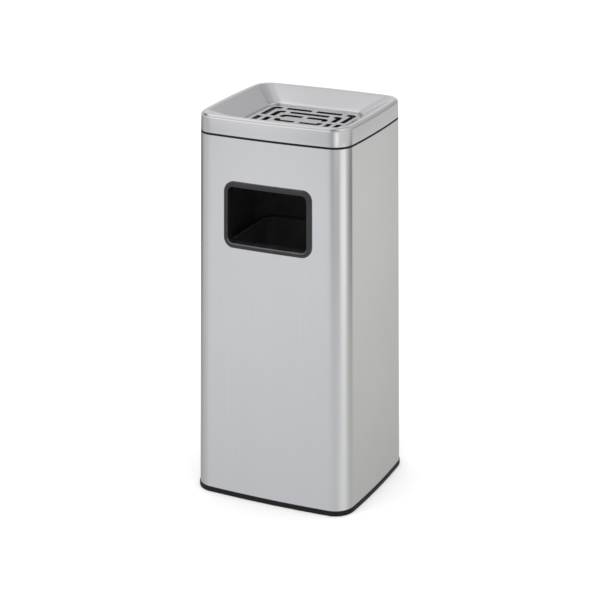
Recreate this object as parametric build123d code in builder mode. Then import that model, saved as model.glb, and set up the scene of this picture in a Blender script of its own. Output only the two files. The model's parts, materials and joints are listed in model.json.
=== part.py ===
"""Litter bin with an ash tray lid: a stainless tube on a plastic base, a slotted ash grate in the lid,
and a lift-out bucket inside.

Frame: +Z up, the front with the litter opening faces -Y, origin at the middle of the footprint on the floor.
Lengths are millimetres.
"""

import os
from math import atan2, cos

from build123d import *

os.makedirs("parts", exist_ok=True)

# ---- Driving dimensions ----------------------------------------------------------------------------------

TOTAL_HEIGHT = 610.0
BODY_WIDTH = 273.6  # along X, between the theoretical corners
BODY_DEPTH = 227.1  # along Y, between the theoretical corners
FACE_CROWN = 4.9  # how far the middle of each face stands out from its chord
CORNER_RADIUS = 32.0
SHEET = 0.8  # stainless sheet of shell, lid and pan

BASE_RING_HEIGHT = 8.0
BASE_RING_LIP = 0.95  # how far the base ring stands out from the shell
BASE_RING_FLOOR = 3.0
BASE_RING_WEB = 14.0  # how far the ring's floor reaches inward
BASE_RING_BOTTOM_ROUND = 2.2
BASE_RING_TOP_ROUND = 0.4
BASE_PLATE = 1.2
BASE_FLANGE = 14.0
BOSS_RADIUS = 6.5
BOSS_INSET = 7.0  # from the chord of a face to the screw
BOSS_SPREAD = 60.0  # screws on front and back, either side of the middle
PAD_RADIUS = 9.8
PAD_THICKNESS = 2.5
PAD_BOSS_WALL = 2.5
PAD_INSET = 22.0  # from the theoretical corner, along X and Y

TRIM_TOP = 580.4
TRIM_CAP = 3.0  # height of the black line between shell and lid
TRIM_LEG = 9.0
TRIM_THICKNESS = 2.2
TRIM_SETBACK = 0.15  # trim face behind the shell face
SEAM_WIDTH = 0.8
SEAM_DEPTH = 0.2
SEAM_STRIP_WIDTH = 22.0

MOUTH_WIDTH = 143.6
MOUTH_HEIGHT = 90.4
MOUTH_Z = 453.7  # centre
MOUTH_RADIUS = 9.0
BEZEL_FACE = 8.2  # width of the bead round the mouth
BEZEL_PROUD = 4.5
BEZEL_ROUND = 3.3
BEZEL_TUBE = 2.2  # wall of the flange that runs into the body
BEZEL_DEPTH = 15.0  # how far the flange runs in behind the front face
BEZEL_CLEARANCE = 0.2
CLIP_STRIP = 0.5
CLIP_WIDTH = 12.0
CLIP_LEG = 8.0
CLIP_SPREAD = 42.0

CREST_RADIUS = 6.0  # outside of the lid's rolled top edge
TRAY_INSET = 9.2  # from the skirt to where the tray wall would start without rounding
TRAY_EDGE_RADIUS = 12.0
RECESS_WIDTH = 180.0
RECESS_DEPTH = 132.0
RECESS_RADIUS = 19.5
RECESS_TOP = 588.0
RECESS_ROUND = 1.5
EDGE_TOLERANCE = 0.01  # for choosing edges by their height
LEDGE_TOP = 582.4
LEDGE_WIDTH = 10.5
LEDGE_LIP = 3.0

FRAME_FLANGE = 3.0
FRAME_WIDTH = 9.0
SPIGOT_GAP = 0.6
SPIGOT_DEPTH = 14.0
SPIGOT_WALL = 2.2
FRAME_TAB = 24.0
STUD_X = 112.0
STUD_Y = 88.0

GRATE_GAP = 1.2  # between grate and recess wall
GRATE_THICKNESS = 1.2
GRATE_TOP = 585.2
GRATE_DISH = 1.6
GRATE_EDGE_ROUND = 0.9
SLOT_WIDTH = 9.4
SLOT_PITCH = 17.75
SLOT_BRIDGE = 9.6
BAR_STEP = 2.0  # how much wider the second ring spaces its cross bars than the first
SLOT_OUTER_RADIUS = 9.0
SLOT_INNER_RADIUS = 2.0
SLOT_RINGS = 3
DISH_FLOOR_RADIUS = 1.6
OUTER_SLOT_HALF_WIDTH = 75.0  # centre line of the outer ring of slots
OUTER_SLOT_HALF_DEPTH = 51.0
PAN_DEPTH = 20.0
PAN_TAPER = 5.0
PAN_GAP = 3.0  # between the pan's wall and the lid's opening
PAN_RADIUS = 10.0

BUCKET_WIDTH = 222.4  # centre line of the rolled rim
BUCKET_DEPTH = 184.8
BUCKET_TAPER = 9.0  # per side, from rim to floor
BUCKET_RADIUS = 25.0
BUCKET_RIM_Z = 382.2
BUCKET_FLOOR_HEIGHT = 6.0
BUCKET_GAP = 0.2  # between bucket and base plate
RIM_WIRE_RADIUS = 2.0

BAIL_RADIUS = 2.5
BAIL_PIVOT_Z = 369.0
BAIL_HALF_WIDTH = 121.0
BAIL_REACH = 106.0
BAIL_CORNER = 25.0
BAIL_PIVOT_BEND = 4.0
BAIL_TONGUE = 8.6  # from the arm's centre line to the wire's end
EAR_HALF_WIDTH = 15.0
EAR_HEIGHT = 20.0
EAR_TOP_GAP = 3.8  # below the rim's centre line
EAR_PLATE = 1.5
EAR_CORNER = 3.0
EAR_BOSS_RADIUS = 6.0
EAR_BOSS_END = 4.5  # from the arm's centre line to the boss's face
RIVET_RADIUS = 1.6
RIVET_HEAD_RADIUS = 3.4
RIVET_HEAD = 1.5
RIVET_ROUND = 1.2
RIVET_SPREAD = 10.5
RIVET_DROP = 6.5  # below the pivot
GRIP_LENGTH = 96.0
GRIP_RADIUS = 7.0
GRIP_GROOVES = 9
GRIP_GROOVE_PITCH = 9.0
GRIP_GROOVE_RADIUS = 2.0
GRIP_GROOVE_DEPTH = 0.8
GRIP_ROUND = 2.0

RUNNING_CLEARANCE = 0.05  # radial, between the bail and what turns on it
FIT_CLEARANCE = 0.02  # radial, between a screw or wire and what holds it
SCREW_RADIUS = 2.0
SCREW_HOLE_RADIUS = 2.2
SCREW_HEAD_RADIUS = 3.8
SCREW_HEAD = 2.2
SCREW_HEAD_ROUND = 1.0
SCREW_HEAD_POCKET = 4.5
DRIVE_LENGTH = 4.4  # the cross recess in a screw's head
DRIVE_WIDTH = 0.9
DRIVE_DEPTH = 1.2
NUT_ACROSS_FLATS = 7.0
NUT_HEIGHT = 3.2
SCREW_TAIL = 1.2  # beyond the nut

# ---- Derived levels and sizes ----------------------------------------------------------------------------

shell_bottom = BASE_RING_FLOOR
shell_top = TRIM_TOP - TRIM_CAP
plate_top = BASE_RING_HEIGHT + BASE_PLATE
bucket_bottom = plate_top + BUCKET_GAP
front_y = BODY_DEPTH / 2 + FACE_CROWN
bezel_width = MOUTH_WIDTH + 2 * BEZEL_FACE
bezel_height = MOUTH_HEIGHT + 2 * BEZEL_FACE
tube_width = MOUTH_WIDTH + 2 * BEZEL_TUBE
tube_height = MOUTH_HEIGHT + 2 * BEZEL_TUBE
opening_width = RECESS_WIDTH - 2 * LEDGE_WIDTH
opening_depth = RECESS_DEPTH - 2 * LEDGE_WIDTH
opening_radius = RECESS_RADIUS - LEDGE_WIDTH
tray_run = BODY_WIDTH / 2 + FACE_CROWN - TRAY_INSET - RECESS_WIDTH / 2
tray_sheet = SHEET / cos(atan2(TOTAL_HEIGHT - RECESS_TOP, tray_run))  # sloping sheet, measured upright
pan_flange_top = LEDGE_TOP + SHEET
boss_x = BODY_WIDTH / 2 - BOSS_INSET
boss_y = BODY_DEPTH / 2 - BOSS_INSET
boss_spots = [(-boss_x, 0), (boss_x, 0)]
boss_spots += [(x, y) for x in (-BOSS_SPREAD, BOSS_SPREAD) for y in (-boss_y, boss_y)]
stud_spots = [(-STUD_X, 0), (STUD_X, 0), (0, -STUD_Y), (0, STUD_Y)]
ON_BOTTOM = (Align.CENTER, Align.CENTER, Align.MIN)


def plan_face(inset=0.0):
    """The bin's plan outline, the overlap of four large discs with rounded corners, moved inward by inset."""
    with BuildSketch() as plan:
        Rectangle(2 * BODY_WIDTH, 2 * BODY_DEPTH)
        for half_chord, half_span, turn in (
            (BODY_WIDTH / 2, BODY_DEPTH / 2, 90),
            (BODY_DEPTH / 2, BODY_WIDTH / 2, 0),
        ):
            crown_radius = (half_chord**2 + FACE_CROWN**2) / (2 * FACE_CROWN)
            for disc_centre in PolarLocations(crown_radius - half_span - FACE_CROWN, 2, start_angle=turn):
                with Locations(disc_centre):
                    Circle(crown_radius - inset, mode=Mode.INTERSECT)
        fillet(plan.vertices(), CORNER_RADIUS - inset)
    return plan.sketch


def bucket_face(z, inset=0.0):
    """The bucket's tapered plan at a height, moved inward by inset."""
    taper = BUCKET_TAPER * (BUCKET_RIM_Z - z) / (BUCKET_RIM_Z - bucket_bottom)
    with BuildSketch(Plane.XY.offset(z)) as plan:
        RectangleRounded(
            BUCKET_WIDTH - 2 * (taper + inset),
            BUCKET_DEPTH - 2 * (taper + inset),
            BUCKET_RADIUS - inset,
        )
    return plan.sketch


def bucket_block(low, high, inset=0.0):
    """A solid that fills the bucket's tapered inside or outside between two heights."""
    with BuildPart() as block:
        loft([bucket_face(low, inset).face(), bucket_face(high, inset).face()])
    return block.part


# ---- Body ------------------------------------------------------------------------------------------------

with BuildPart() as body_shell:
    with BuildSketch(Plane.XY.offset(shell_bottom)):
        add(plan_face())
        add(plan_face(SHEET), mode=Mode.SUBTRACT)
    extrude(amount=shell_top - shell_bottom)
    with BuildSketch(Plane.XZ.offset(BODY_DEPTH / 2 - BEZEL_DEPTH)):
        with Locations((0, MOUTH_Z)):
            RectangleRounded(
                tube_width + 2 * BEZEL_CLEARANCE,
                tube_height + 2 * BEZEL_CLEARANCE,
                MOUTH_RADIUS + BEZEL_TUBE + BEZEL_CLEARANCE,
            )
    extrude(amount=2 * BEZEL_DEPTH, mode=Mode.SUBTRACT)
    with Locations((0, front_y, shell_bottom)):
        Box(SEAM_WIDTH, 2 * SEAM_DEPTH, TOTAL_HEIGHT, align=ON_BOTTOM, mode=Mode.SUBTRACT)
body_shell.part.label = "body_shell"
export_step(body_shell.part, "parts/body_shell.step")

strip_bottom = plate_top + BASE_FLANGE
strip_top = shell_top - TRIM_LEG
with BuildPart() as back_seam_strip:
    with BuildSketch(Plane.XY.offset(strip_bottom)):
        add(plan_face(SHEET))
        add(plan_face(2 * SHEET), mode=Mode.SUBTRACT)
        with Locations((0, BODY_DEPTH / 2)):
            Rectangle(SEAM_STRIP_WIDTH, BODY_DEPTH / 2, mode=Mode.INTERSECT)
    extrude(amount=strip_top - strip_bottom)
back_seam_strip.part.label = "back_seam_strip"
export_step(back_seam_strip.part, "parts/back_seam_strip.step")

with BuildPart() as rim_trim:
    with BuildSketch(Plane.XY.offset(shell_top)):
        add(plan_face(TRIM_SETBACK))
        add(plan_face(SHEET + TRIM_THICKNESS), mode=Mode.SUBTRACT)
    extrude(amount=TRIM_CAP)
    with BuildSketch(Plane.XY.offset(shell_top)):
        add(plan_face(SHEET))
        add(plan_face(SHEET + TRIM_THICKNESS), mode=Mode.SUBTRACT)
    extrude(amount=-TRIM_LEG)
rim_trim.part.label = "rim_trim"
export_step(rim_trim.part, "parts/rim_trim.step")

with BuildPart() as base_ring:
    with BuildSketch():
        add(plan_face(-BASE_RING_LIP))
    extrude(amount=BASE_RING_HEIGHT)
    fillet(base_ring.faces().sort_by(Axis.Z)[0].edges(), BASE_RING_BOTTOM_ROUND)
    fillet(base_ring.faces().sort_by(Axis.Z)[-1].edges(), BASE_RING_TOP_ROUND)
    with BuildSketch(Plane.XY.offset(BASE_RING_FLOOR)):
        add(plan_face())
    extrude(amount=BASE_RING_HEIGHT, mode=Mode.SUBTRACT)
    with BuildSketch():
        add(plan_face(BASE_RING_WEB))
    extrude(amount=BASE_RING_HEIGHT, mode=Mode.SUBTRACT)
    with BuildSketch(Plane.XY.offset(BASE_RING_FLOOR)):
        add(plan_face(SHEET))
        add(plan_face(SHEET + TRIM_THICKNESS), mode=Mode.SUBTRACT)
    extrude(amount=BASE_RING_HEIGHT - BASE_RING_FLOOR)
    with Locations(*boss_spots):
        Cylinder(BOSS_RADIUS, BASE_RING_HEIGHT, align=ON_BOTTOM)
    with GridLocations(BODY_WIDTH - 2 * PAD_INSET, BODY_DEPTH - 2 * PAD_INSET, 2, 2):
        Cylinder(PAD_RADIUS + PAD_BOSS_WALL, 2 * BASE_RING_FLOOR, align=ON_BOTTOM)
        Cylinder(PAD_RADIUS, PAD_THICKNESS, align=ON_BOTTOM, mode=Mode.SUBTRACT)
    with Locations(*boss_spots):
        Cylinder(SCREW_HEAD_POCKET, BASE_RING_FLOOR, align=ON_BOTTOM, mode=Mode.SUBTRACT)
        Cylinder(SCREW_HOLE_RADIUS, BASE_RING_HEIGHT, align=ON_BOTTOM, mode=Mode.SUBTRACT)
base_ring.part.label = "base_ring"
export_step(base_ring.part, "parts/base_ring.step")

with BuildPart() as floor_pads:
    with GridLocations(BODY_WIDTH - 2 * PAD_INSET, BODY_DEPTH - 2 * PAD_INSET, 2, 2):
        Cylinder(PAD_RADIUS - FIT_CLEARANCE, PAD_THICKNESS, align=ON_BOTTOM)
floor_pads.part.label = "floor_pads"
export_step(floor_pads.part, "parts/floor_pads.step")

with BuildPart() as base_plate:
    with BuildSketch(Plane.XY.offset(BASE_RING_HEIGHT)):
        add(plan_face(SHEET))
    extrude(amount=BASE_PLATE + BASE_FLANGE)
    fillet(base_plate.faces().sort_by(Axis.Z)[0].edges(), BASE_PLATE)
    with BuildSketch(Plane.XY.offset(plate_top)):
        add(plan_face(SHEET + BASE_PLATE))
    extrude(amount=BASE_FLANGE, mode=Mode.SUBTRACT)
    with Locations(*[(x, y, BASE_RING_HEIGHT) for x, y in boss_spots]):
        Cylinder(SCREW_HOLE_RADIUS, BASE_PLATE, align=ON_BOTTOM, mode=Mode.SUBTRACT)
base_plate.part.label = "base_plate"
export_step(base_plate.part, "parts/base_plate.step")

screw_end = plate_top + NUT_HEIGHT + SCREW_TAIL
with BuildPart() as base_screws:
    with Locations(*[(x, y, BASE_RING_FLOOR - SCREW_HEAD) for x, y in boss_spots]):
        Cylinder(SCREW_HEAD_RADIUS, SCREW_HEAD, align=ON_BOTTOM)
    fillet(base_screws.faces().group_by(Axis.Z)[0].edges(), SCREW_HEAD_ROUND)
    with Locations(*[(x, y, BASE_RING_FLOOR) for x, y in boss_spots]):
        Cylinder(SCREW_RADIUS - FIT_CLEARANCE, screw_end - BASE_RING_FLOOR, align=ON_BOTTOM)
    with Locations(*[(x, y, BASE_RING_FLOOR - SCREW_HEAD) for x, y in boss_spots]):
        Box(DRIVE_WIDTH, DRIVE_LENGTH, 2 * DRIVE_DEPTH, mode=Mode.SUBTRACT)
        Box(DRIVE_LENGTH, DRIVE_WIDTH, 2 * DRIVE_DEPTH, mode=Mode.SUBTRACT)
base_screws.part.label = "base_screws"
export_step(base_screws.part, "parts/base_screws.step")

with BuildPart() as base_nuts:
    with BuildSketch(Plane.XY.offset(plate_top)):
        with Locations(*boss_spots):
            RegularPolygon(NUT_ACROSS_FLATS / 2, 6, major_radius=False)
            Circle(SCREW_RADIUS, mode=Mode.SUBTRACT)
    extrude(amount=NUT_HEIGHT)
base_nuts.part.label = "base_nuts"
export_step(base_nuts.part, "parts/base_nuts.step")

# ---- Litter opening --------------------------------------------------------------------------------------

tube_end = front_y - BEZEL_DEPTH
with BuildPart() as room_behind_bead:
    with BuildSketch(Plane.XY.offset(MOUTH_Z - bezel_height)):
        add(plan_face())
    extrude(amount=2 * bezel_height)
    with BuildSketch(Plane.XZ):
        with Locations((0, MOUTH_Z)):
            RectangleRounded(tube_width, tube_height, MOUTH_RADIUS + BEZEL_TUBE)
    extrude(amount=BODY_DEPTH, mode=Mode.SUBTRACT)

with BuildPart() as opening_bezel:
    with BuildSketch(Plane.XY.offset(MOUTH_Z - bezel_height)):
        add(plan_face(-BEZEL_PROUD))
    extrude(amount=2 * bezel_height)
    with BuildSketch(Plane.XZ.offset(tube_end)):
        with Locations((0, MOUTH_Z)):
            RectangleRounded(bezel_width, bezel_height, MOUTH_RADIUS + BEZEL_FACE)
            RectangleRounded(MOUTH_WIDTH, MOUTH_HEIGHT, MOUTH_RADIUS, mode=Mode.SUBTRACT)
    extrude(amount=2 * BEZEL_DEPTH, mode=Mode.INTERSECT)
    fillet(opening_bezel.faces().sort_by(Axis.Y)[0].edges(), BEZEL_ROUND)
    add(room_behind_bead.part, mode=Mode.SUBTRACT)
opening_bezel.part.label = "opening_bezel"
export_step(opening_bezel.part, "parts/opening_bezel.step")


def clip_plane(x, z, out_x, out_z):
    """A plane through a clip's middle: its x runs away from the mouth, its y runs to the front."""
    return Plane(origin=(x, 0, z), x_dir=(out_x, 0, out_z), z_dir=(out_z, 0, -out_x))


clip_planes = [
    clip_plane(side * CLIP_SPREAD, MOUTH_Z + up * tube_height / 2, 0, up)
    for side in (-1, 1)
    for up in (-1, 1)
]
clip_planes += [clip_plane(side * tube_width / 2, MOUTH_Z, side, 0) for side in (-1, 1)]
with BuildPart() as bezel_clips:
    for plane in clip_planes:
        clip_x = abs(plane.origin.X) + CLIP_LEG + CLIP_WIDTH / 2
        wall_y = front_y - FACE_CROWN * (2 * clip_x / BODY_WIDTH) ** 2 - SHEET
        with BuildSketch(plane):
            with Locations((0, tube_end - CLIP_STRIP)):
                Rectangle(CLIP_STRIP, wall_y - tube_end + CLIP_STRIP, align=(Align.MIN, Align.MIN))
            with Locations((-BEZEL_TUBE / 2, tube_end - CLIP_STRIP)):
                Rectangle(BEZEL_TUBE / 2, CLIP_STRIP, align=(Align.MIN, Align.MIN))
            with Locations((0, wall_y - CLIP_STRIP)):
                Rectangle(CLIP_LEG, CLIP_STRIP, align=(Align.MIN, Align.MIN))
        extrude(amount=CLIP_WIDTH / 2, both=True)
bezel_clips.part.label = "bezel_clips"
export_step(bezel_clips.part, "parts/bezel_clips.step")

# ---- Lid -------------------------------------------------------------------------------------------------

with BuildPart() as tray_funnel:
    with BuildSketch(Plane.XY.offset(RECESS_TOP)):
        RectangleRounded(RECESS_WIDTH, RECESS_DEPTH, RECESS_RADIUS)
    with BuildSketch(Plane.XY.offset(TOTAL_HEIGHT)):
        add(plan_face(TRAY_INSET))
    loft()

with BuildPart() as lid_void:
    with BuildSketch(Plane.XY.offset(TRIM_TOP - 2 * SPIGOT_DEPTH)):
        add(plan_face(SHEET))
    extrude(amount=2 * SPIGOT_DEPTH + TOTAL_HEIGHT - TRIM_TOP - tray_sheet)
    fillet(lid_void.faces().sort_by(Axis.Z)[-1].edges(), CREST_RADIUS - SHEET)
    add(tray_funnel.part, mode=Mode.SUBTRACT)
    add(tray_funnel.part.moved(Location((0, 0, -tray_sheet))), mode=Mode.SUBTRACT)
    with BuildSketch(Plane.XY.offset(LEDGE_TOP - SHEET)):
        RectangleRounded(RECESS_WIDTH + 2 * SHEET, RECESS_DEPTH + 2 * SHEET, RECESS_RADIUS + SHEET)
    extrude(amount=RECESS_TOP - LEDGE_TOP + SHEET, mode=Mode.SUBTRACT)
    with BuildSketch(Plane.XY.offset(LEDGE_TOP - LEDGE_LIP)):
        RectangleRounded(opening_width + 2 * SHEET, opening_depth + 2 * SHEET, opening_radius + SHEET)
    extrude(amount=LEDGE_LIP, mode=Mode.SUBTRACT)

with BuildPart() as lid_pressing:
    with BuildSketch(Plane.XY.offset(LEDGE_TOP - LEDGE_LIP)):
        RectangleRounded(opening_width + 2 * SHEET, opening_depth + 2 * SHEET, opening_radius + SHEET)
    extrude(amount=LEDGE_LIP)
    with BuildSketch(Plane.XY.offset(TRIM_TOP)):
        add(plan_face())
    extrude(amount=TOTAL_HEIGHT - TRIM_TOP)
    fillet(lid_pressing.faces().sort_by(Axis.Z)[-1].edges(), CREST_RADIUS)
    add(tray_funnel.part, mode=Mode.SUBTRACT)
    crest_face = lid_pressing.faces().filter_by(GeomType.PLANE).sort_by(Axis.Z)[-1]
    fillet(crest_face.inner_wires()[0].edges(), TRAY_EDGE_RADIUS)
    with BuildSketch(Plane.XY.offset(LEDGE_TOP)):
        RectangleRounded(RECESS_WIDTH, RECESS_DEPTH, RECESS_RADIUS)
    extrude(amount=RECESS_TOP - LEDGE_TOP, mode=Mode.SUBTRACT)
    recess_levels = (RECESS_TOP - EDGE_TOLERANCE, RECESS_TOP + EDGE_TOLERANCE)
    fillet(lid_pressing.edges().filter_by_position(Axis.Z, *recess_levels), RECESS_ROUND)
    with BuildSketch(Plane.XY.offset(LEDGE_TOP - LEDGE_LIP)):
        RectangleRounded(opening_width, opening_depth, opening_radius)
    extrude(amount=LEDGE_LIP, mode=Mode.SUBTRACT)
    add(lid_void.part, mode=Mode.SUBTRACT)
lid_pressing.part.label = "lid_pressing"
export_step(lid_pressing.part, "parts/lid_pressing.step")

spigot_inset = SHEET + TRIM_THICKNESS + SPIGOT_GAP
with BuildPart() as lid_frame:
    with BuildSketch(Plane.XY.offset(TRIM_TOP)):
        add(plan_face(SHEET + FIT_CLEARANCE))
        add(plan_face(FRAME_WIDTH), mode=Mode.SUBTRACT)
    extrude(amount=FRAME_FLANGE)
    with BuildSketch(Plane.XY.offset(TRIM_TOP)):
        add(plan_face(spigot_inset))
        add(plan_face(spigot_inset + SPIGOT_WALL), mode=Mode.SUBTRACT)
    extrude(amount=-SPIGOT_DEPTH)
    with BuildSketch(Plane.XY.offset(TRIM_TOP)):
        with Locations((-STUD_X - FRAME_TAB / 4, 0), (STUD_X + FRAME_TAB / 4, 0)):
            Rectangle(1.5 * FRAME_TAB, FRAME_TAB)
        with Locations((0, -STUD_Y - FRAME_TAB / 4), (0, STUD_Y + FRAME_TAB / 4)):
            Rectangle(FRAME_TAB, 1.5 * FRAME_TAB)
        with Locations(*stud_spots):
            Circle(SCREW_HOLE_RADIUS, mode=Mode.SUBTRACT)
    extrude(amount=FRAME_FLANGE)
lid_frame.part.label = "lid_frame"
export_step(lid_frame.part, "parts/lid_frame.step")

stud_bottom = TRIM_TOP - NUT_HEIGHT - SCREW_TAIL
with BuildPart() as lid_studs:
    with Locations(*[(x, y, stud_bottom) for x, y in stud_spots]):
        Cylinder(SCREW_RADIUS - FIT_CLEARANCE, TOTAL_HEIGHT - stud_bottom, align=ON_BOTTOM)
    add(lid_void.part, mode=Mode.INTERSECT)
lid_studs.part.label = "lid_studs"
export_step(lid_studs.part, "parts/lid_studs.step")

with BuildPart() as lid_nuts:
    with BuildSketch(Plane.XY.offset(TRIM_TOP)):
        with Locations(*stud_spots):
            RegularPolygon(NUT_ACROSS_FLATS / 2, 6, major_radius=False)
            Circle(SCREW_RADIUS, mode=Mode.SUBTRACT)
    extrude(amount=-NUT_HEIGHT)
lid_nuts.part.label = "lid_nuts"
export_step(lid_nuts.part, "parts/lid_nuts.step")

# ---- Ash pan and grate -----------------------------------------------------------------------------------

pan_width = opening_width - 2 * PAN_GAP
pan_depth = opening_depth - 2 * PAN_GAP


def pan_block(inset, floor):
    """A tapered block that fills the ash pan's outside or inside, down to its floor."""
    with BuildPart() as block:
        with BuildSketch(Plane.XY.offset(LEDGE_TOP - PAN_DEPTH + floor)):
            RectangleRounded(
                pan_width - 2 * (PAN_TAPER + inset),
                pan_depth - 2 * (PAN_TAPER + inset),
                PAN_RADIUS - inset,
            )
        with BuildSketch(Plane.XY.offset(pan_flange_top)):
            RectangleRounded(pan_width - 2 * inset, pan_depth - 2 * inset, PAN_RADIUS - inset)
        loft()
        fillet(block.faces().sort_by(Axis.Z)[0].edges(), PAN_RADIUS / 2 - inset)
    return block.part


with BuildPart() as ash_pan:
    with BuildSketch(Plane.XY.offset(LEDGE_TOP)):
        RectangleRounded(
            RECESS_WIDTH - 2 * GRATE_GAP,
            RECESS_DEPTH - 2 * GRATE_GAP,
            RECESS_RADIUS - GRATE_GAP,
        )
    extrude(amount=SHEET)
    add(pan_block(0, 0))
    add(pan_block(SHEET, SHEET), mode=Mode.SUBTRACT)
ash_pan.part.label = "ash_pan"
export_step(ash_pan.part, "parts/ash_pan.step")


def slot_ring(index):
    """One ring of the grate's slots: a rounded band, cut into slots by bridges."""
    half_w = OUTER_SLOT_HALF_WIDTH - index * SLOT_PITCH
    half_d = OUTER_SLOT_HALF_DEPTH - index * SLOT_PITCH
    with BuildSketch(Plane.XY.offset(GRATE_TOP)) as ring:
        RectangleRounded(2 * half_w + SLOT_WIDTH, 2 * half_d + SLOT_WIDTH, SLOT_OUTER_RADIUS)
        RectangleRounded(
            2 * half_w - SLOT_WIDTH,
            2 * half_d - SLOT_WIDTH,
            SLOT_INNER_RADIUS,
            mode=Mode.SUBTRACT,
        )
        Rectangle(BODY_WIDTH, SLOT_BRIDGE, mode=Mode.SUBTRACT)
        if index != 1:
            Rectangle(SLOT_BRIDGE, BODY_DEPTH, mode=Mode.SUBTRACT)
        if index < 2:
            with GridLocations(2 * (half_w - SLOT_PITCH + index * BAR_STEP), 1, 2, 1):
                Rectangle(SLOT_BRIDGE, BODY_DEPTH, mode=Mode.SUBTRACT)
    return ring.sketch


dish_width = 2 * OUTER_SLOT_HALF_WIDTH + SLOT_PITCH
dish_depth = 2 * OUTER_SLOT_HALF_DEPTH + SLOT_PITCH
dish_floor_width = 2 * (OUTER_SLOT_HALF_WIDTH - 2.5 * SLOT_PITCH)
dish_floor_depth = 2 * (OUTER_SLOT_HALF_DEPTH - 2.5 * SLOT_PITCH)


def grate_dish(top):
    """The block between the grate's flat margin and its slightly lower middle."""
    with BuildPart() as block:
        with BuildSketch(Plane.XY.offset(top - GRATE_DISH)):
            RectangleRounded(dish_floor_width, dish_floor_depth, DISH_FLOOR_RADIUS)
        with BuildSketch(Plane.XY.offset(top)):
            RectangleRounded(dish_width, dish_depth, SLOT_OUTER_RADIUS)
        loft()
    return block.part


grate_under = GRATE_TOP - GRATE_THICKNESS
with BuildPart() as ash_grate:
    with BuildSketch(Plane.XY.offset(pan_flange_top)):
        RectangleRounded(
            RECESS_WIDTH - 2 * GRATE_GAP,
            RECESS_DEPTH - 2 * GRATE_GAP,
            RECESS_RADIUS - GRATE_GAP,
        )
    extrude(amount=GRATE_TOP - pan_flange_top)
    fillet(ash_grate.faces().sort_by(Axis.Z)[-1].edges(), GRATE_EDGE_ROUND)
    with BuildSketch(Plane.XY.offset(pan_flange_top)):
        RectangleRounded(
            RECESS_WIDTH - 2 * (GRATE_GAP + GRATE_THICKNESS),
            RECESS_DEPTH - 2 * (GRATE_GAP + GRATE_THICKNESS),
            RECESS_RADIUS - GRATE_GAP - GRATE_THICKNESS,
        )
    extrude(amount=grate_under - pan_flange_top, mode=Mode.SUBTRACT)
    add(grate_dish(grate_under))
    add(grate_dish(GRATE_TOP), mode=Mode.SUBTRACT)
    for index in range(SLOT_RINGS):
        extrude(slot_ring(index), amount=PAN_DEPTH / 2, both=True, mode=Mode.SUBTRACT)
ash_grate.part.label = "ash_grate"
export_step(ash_grate.part, "parts/ash_grate.step")

# ---- Bucket ----------------------------------------------------------------------------------------------

ear_outer_x = BAIL_HALF_WIDTH - EAR_BOSS_END
ear_plate_x = BUCKET_WIDTH / 2 + EAR_PLATE
ear_top = BUCKET_RIM_Z - EAR_TOP_GAP
rivet_z = BAIL_PIVOT_Z - RIVET_DROP
rivet_planes = [
    Plane(origin=(0, y, rivet_z), x_dir=(0, 1, 0), z_dir=(side, 0, 0))
    for side in (-1, 1)
    for y in (-RIVET_SPREAD, RIVET_SPREAD)
]

with BuildPart() as bucket_wall:
    add(bucket_block(bucket_bottom, BUCKET_RIM_Z))
    add(bucket_block(bucket_bottom, BUCKET_RIM_Z, SHEET), mode=Mode.SUBTRACT)
    rim_path = bucket_face(BUCKET_RIM_Z).face().outer_wire()
    with BuildSketch(Plane(origin=rim_path @ 0, z_dir=rim_path % 0)) as rim_section:
        Circle(RIM_WIRE_RADIUS + SHEET)
    sweep(path=rim_path)
    with BuildSketch(Plane(origin=rim_path @ 0, z_dir=rim_path % 0)) as wire_tunnel:
        Circle(RIM_WIRE_RADIUS)
    sweep(path=rim_path, mode=Mode.SUBTRACT)
    for plane in rivet_planes:
        with BuildSketch(plane):
            Circle(RIVET_RADIUS)
        extrude(amount=BUCKET_WIDTH, mode=Mode.SUBTRACT)
bucket_wall.part.label = "bucket_wall"
export_step(bucket_wall.part, "parts/bucket_wall.step")

with BuildPart() as bucket_rim_wire:
    with BuildSketch(Plane(origin=rim_path @ 0, z_dir=rim_path % 0)):
        Circle(RIM_WIRE_RADIUS - FIT_CLEARANCE)
    sweep(path=rim_path)
bucket_rim_wire.part.label = "bucket_rim_wire"
export_step(bucket_rim_wire.part, "parts/bucket_rim_wire.step")

floor_panel_z = bucket_bottom + BUCKET_FLOOR_HEIGHT
with BuildPart() as bucket_floor:
    add(bucket_block(bucket_bottom, floor_panel_z + SHEET, SHEET))
    add(bucket_block(bucket_bottom, floor_panel_z, 2 * SHEET), mode=Mode.SUBTRACT)
bucket_floor.part.label = "bucket_floor"
export_step(bucket_floor.part, "parts/bucket_floor.step")

with BuildPart() as bail_ears:
    with Locations((0, 0, ear_top - EAR_HEIGHT / 2)):
        Box(2 * ear_plate_x, 2 * EAR_HALF_WIDTH, EAR_HEIGHT)
    fillet(bail_ears.edges().filter_by(Axis.X), EAR_CORNER)
    with BuildSketch(Plane.YZ):
        with Locations((0, BAIL_PIVOT_Z)):
            Circle(EAR_BOSS_RADIUS)
    extrude(amount=ear_outer_x, both=True)
    add(bucket_block(bucket_bottom, BUCKET_RIM_Z), mode=Mode.SUBTRACT)
    with BuildSketch(Plane.YZ):
        with Locations((0, BAIL_PIVOT_Z)):
            Circle(BAIL_RADIUS + RUNNING_CLEARANCE)
    extrude(amount=BODY_WIDTH, both=True, mode=Mode.SUBTRACT)
    for plane in rivet_planes:
        with BuildSketch(plane):
            Circle(RIVET_RADIUS)
        extrude(amount=BUCKET_WIDTH, mode=Mode.SUBTRACT)
bail_ears.part.label = "bail_ears"
export_step(bail_ears.part, "parts/bail_ears.step")

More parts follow.
